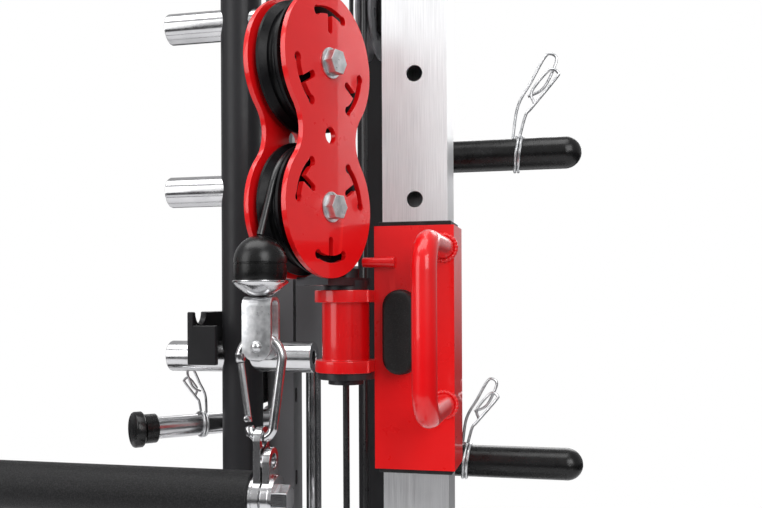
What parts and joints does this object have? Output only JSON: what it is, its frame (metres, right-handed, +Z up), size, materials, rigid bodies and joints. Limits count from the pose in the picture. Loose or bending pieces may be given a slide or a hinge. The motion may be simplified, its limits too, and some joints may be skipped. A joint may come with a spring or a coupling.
{
  "type": "functional trainer",
  "caption": "Two-tower cable trainer with pinned carriages, swivelling pulley housings, weight sleds, rack pegs, plate horns and a long pull bar.",
  "frame": {"origin": "middle of the footprint on the floor", "axes": "+Z up, -Y towards the user in front of the machine, X across it"},
  "size_m": [1.8988, 0.85, 2.2],
  "materials": {
    "frame_black": "satin",
    "rail_steel": "brushed",
    "chrome": "polished",
    "zinc": "satin",
    "rubber": "matte",
    "bar_black": "textured",
    "red": "gloss",
    "liner_plastic": "satin",
    "grip_plastic": "textured",
    "dark_steel": "satin",
    "pulley_plastic": "satin",
    "guide_plastic": "satin",
    "cable": "satin",
    "sled_grey": "satin"
  },
  "bodies": {
    "frame": {"floor_frame": "frame_black", "rear_posts": "frame_black", "crown_frame": "frame_black", "rails": "rail_steel", "rack_posts": "frame_black", "rack_pegs": "chrome", "bar_hooks": "frame_black", "guide_rods": "chrome", "storage_pegs": "zinc", "peg_sleeves": "rubber", "spring_clips": "chrome", "pulley_brackets": "frame_black", "right_cable_rear": "cable", "left_cable_rear": "cable", "right_horn": "sled_grey", "left_horn": "sled_grey"},
    "carriage_right": {"right_sleeve": "red", "right_liners": "liner_plastic", "right_handle": "red", "right_barrel": "red", "right_cable_front": "cable"},
    "release_right": {"right_release_grip": "grip_plastic", "right_lock_pin": "zinc"},
    "housing_right": {"right_spindle": "dark_steel", "right_plates": "red", "right_housing_bolts": "zinc"},
    "upper_pulley_right": {"right_upper_pulley": "pulley_plastic"},
    "lower_pulley_right": {"right_lower_pulley": "pulley_plastic"},
    "cable_end_right": {"right_stop_ball": "rubber", "right_end_strap": "chrome", "right_carabiner": "chrome", "pull_bar": "bar_black", "bar_end_fittings": "chrome"},
    "gate_right": {"right_gate": "chrome"},
    "sled_right": {"right_sled": "sled_grey"},
    "base_pulley_right": {"right_base_pulley": "guide_plastic"},
    "guide_pulley_right": {"right_guide_pulley": "guide_plastic"},
    "crown_pulley_right": {"right_crown_pulley": "guide_plastic"},
    "drop_pulley_right": {"right_drop_pulley": "guide_plastic"},
    "carriage_left": {"left_sleeve": "red", "left_liners": "liner_plastic", "left_handle": "red", "left_barrel": "red", "left_cable_front": "cable"},
    "release_left": {"left_release_grip": "grip_plastic", "left_lock_pin": "zinc"},
    "housing_left": {"left_spindle": "dark_steel", "left_plates": "red", "left_housing_bolts": "zinc"},
    "upper_pulley_left": {"left_upper_pulley": "pulley_plastic"},
    "lower_pulley_left": {"left_lower_pulley": "pulley_plastic"},
    "cable_end_left": {"left_stop_ball": "rubber", "left_end_strap": "chrome", "left_carabiner": "chrome"},
    "gate_left": {"left_gate": "chrome"},
    "sled_left": {"left_sled": "sled_grey"},
    "base_pulley_left": {"left_base_pulley": "guide_plastic"},
    "guide_pulley_left": {"left_guide_pulley": "guide_plastic"},
    "crown_pulley_left": {"left_crown_pulley": "guide_plastic"},
    "drop_pulley_left": {"left_drop_pulley": "guide_plastic"}
  },
  "joints": [
    {"name": "right_carriage_slide", "type": "slide", "parent": "frame", "child": "carriage_right", "axis": [0, 0, 1], "range_m": [-0.6858, 0.6858], "deforming": ["right_cable_front"]},
    {"name": "right_release", "type": "slide", "parent": "carriage_right", "child": "release_right", "axis": [0, 1, 0], "range_m": [0, 0.0032], "stiffness_N_per_m": 400, "springref_m": 0.012},
    {"name": "right_housing_swivel", "type": "hinge", "parent": "carriage_right", "child": "housing_right", "pos_m": [0.738, -0.187, 1.0571], "axis": [0, 0, 1], "range_deg": [0, 20]},
    {"name": "right_upper_spin", "type": "hinge", "parent": "housing_right", "child": "upper_pulley_right", "pos_m": [0.72022, -0.23586, 1.3001], "axis": [0.9397, -0.342, 0], "continuous": true},
    {"name": "right_lower_spin", "type": "hinge", "parent": "housing_right", "child": "lower_pulley_right", "pos_m": [0.72022, -0.23586, 1.1786], "axis": [0.9397, -0.342, 0], "continuous": true},
    {"name": "bar_pull", "type": "slide", "parent": "carriage_right", "child": "cable_end_right", "axis": [0, -1, 0], "range_m": [0, 0.4], "deforming": ["right_cable_front"]},
    {"name": "right_gate_open", "type": "hinge", "parent": "cable_end_right", "child": "gate_right", "pos_m": [0.68808, -0.29694, 0.99944], "axis": [0, 1, 0], "range_deg": [0, 25], "stiffness_Nm_per_rad": 0.05, "springref_deg": -11.46},
    {"name": "right_sled_lift", "type": "slide", "parent": "frame", "child": "sled_right", "axis": [0, 0, 1], "range_m": [0, 0.4], "deforming": ["right_cable_rear"]},
    {"name": "right_base_spin", "type": "hinge", "parent": "frame", "child": "base_pulley_right", "pos_m": [0.738, -0.15, 0.15], "axis": [-1, 0, 0], "continuous": true},
    {"name": "right_guide_spin", "type": "hinge", "parent": "frame", "child": "guide_pulley_right", "pos_m": [0.738, -0.076, 1.39], "axis": [1, 0, 0], "continuous": true},
    {"name": "right_crown_spin", "type": "hinge", "parent": "frame", "child": "crown_pulley_right", "pos_m": [0.72705, -0.07766, 2.078], "axis": [0.9552, 0.2958, 0], "continuous": true},
    {"name": "right_drop_spin", "type": "hinge", "parent": "frame", "child": "drop_pulley_right", "pos_m": [0.66595, 0.11966, 2.078], "axis": [0.9552, 0.2958, 0], "continuous": true},
    {"name": "left_carriage_slide", "type": "slide", "parent": "frame", "child": "carriage_left", "axis": [0, 0, 1], "range_m": [-0.6858, 0.6858], "deforming": ["left_cable_front"]},
    {"name": "left_release", "type": "slide", "parent": "carriage_left", "child": "release_left", "axis": [0, 1, 0], "range_m": [0, 0.0032], "stiffness_N_per_m": 400, "springref_m": 0.012},
    {"name": "left_housing_swivel", "type": "hinge", "parent": "carriage_left", "child": "housing_left", "pos_m": [-0.738, -0.187, 1.0571], "axis": [0, 0, 1], "range_deg": [-20, 0]},
    {"name": "left_upper_spin", "type": "hinge", "parent": "housing_left", "child": "upper_pulley_left", "pos_m": [-0.72022, -0.23586, 1.3001], "axis": [0.9397, 0.342, 0], "continuous": true},
    {"name": "left_lower_spin", "type": "hinge", "parent": "housing_left", "child": "lower_pulley_left", "pos_m": [-0.72022, -0.23586, 1.1786], "axis": [0.9397, 0.342, 0], "continuous": true},
    {"name": "left_pull", "type": "slide", "parent": "carriage_left", "child": "cable_end_left", "axis": [0, -1, 0], "range_m": [0, 0.4], "deforming": ["left_cable_front"]},
    {"name": "left_gate_open", "type": "hinge", "parent": "cable_end_left", "child": "gate_left", "pos_m": [-0.68808, -0.29694, 0.99944], "axis": [0, -1, 0], "range_deg": [0, 25], "stiffness_Nm_per_rad": 0.05, "springref_deg": -11.46},
    {"name": "left_sled_lift", "type": "slide", "parent": "frame", "child": "sled_left", "axis": [0, 0, 1], "range_m": [0, 0.4], "deforming": ["left_cable_rear"]},
    {"name": "left_base_spin", "type": "hinge", "parent": "frame", "child": "base_pulley_left", "pos_m": [-0.738, -0.15, 0.15], "axis": [-1, 0, 0], "continuous": true},
    {"name": "left_guide_spin", "type": "hinge", "parent": "frame", "child": "guide_pulley_left", "pos_m": [-0.738, -0.076, 1.39], "axis": [1, 0, 0], "continuous": true},
    {"name": "left_crown_spin", "type": "hinge", "parent": "frame", "child": "crown_pulley_left", "pos_m": [-0.72705, -0.07766, 2.078], "axis": [0.9552, -0.2958, 0], "continuous": true},
    {"name": "left_drop_spin", "type": "hinge", "parent": "frame", "child": "drop_pulley_left", "pos_m": [-0.66595, 0.11966, 2.078], "axis": [0.9552, -0.2958, 0], "continuous": true}
  ],
  "couplings": [
    {"joint": "right_base_spin", "follows": "bar_pull", "rad_per_m": 27.027},
    {"joint": "right_guide_spin", "follows": "bar_pull", "rad_per_m": 27.027},
    {"joint": "right_crown_spin", "follows": "bar_pull", "rad_per_m": 27.027},
    {"joint": "right_drop_spin", "follows": "bar_pull", "rad_per_m": 27.027},
    {"joint": "right_lower_spin", "follows": "bar_pull", "rad_per_m": 19.231},
    {"joint": "right_housing_swivel", "follows": "bar_pull", "rad_per_m": 0.8683},
    {"joint": "right_sled_lift", "follows": "bar_pull", "ratio": 1},
    {"joint": "left_base_spin", "follows": "bar_pull", "rad_per_m": 27.027},
    {"joint": "left_guide_spin", "follows": "bar_pull", "rad_per_m": 27.027},
    {"joint": "left_crown_spin", "follows": "bar_pull", "rad_per_m": 27.027},
    {"joint": "left_drop_spin", "follows": "bar_pull", "rad_per_m": 27.027},
    {"joint": "left_lower_spin", "follows": "bar_pull", "rad_per_m": 19.231},
    {"joint": "left_housing_swivel", "follows": "bar_pull", "rad_per_m": -0.8683},
    {"joint": "left_sled_lift", "follows": "bar_pull", "ratio": 1},
    {"joint": "left_pull", "follows": "bar_pull", "ratio": 1},
    {"joint": "left_carriage_slide", "follows": "right_carriage_slide", "ratio": 1}
  ]
}
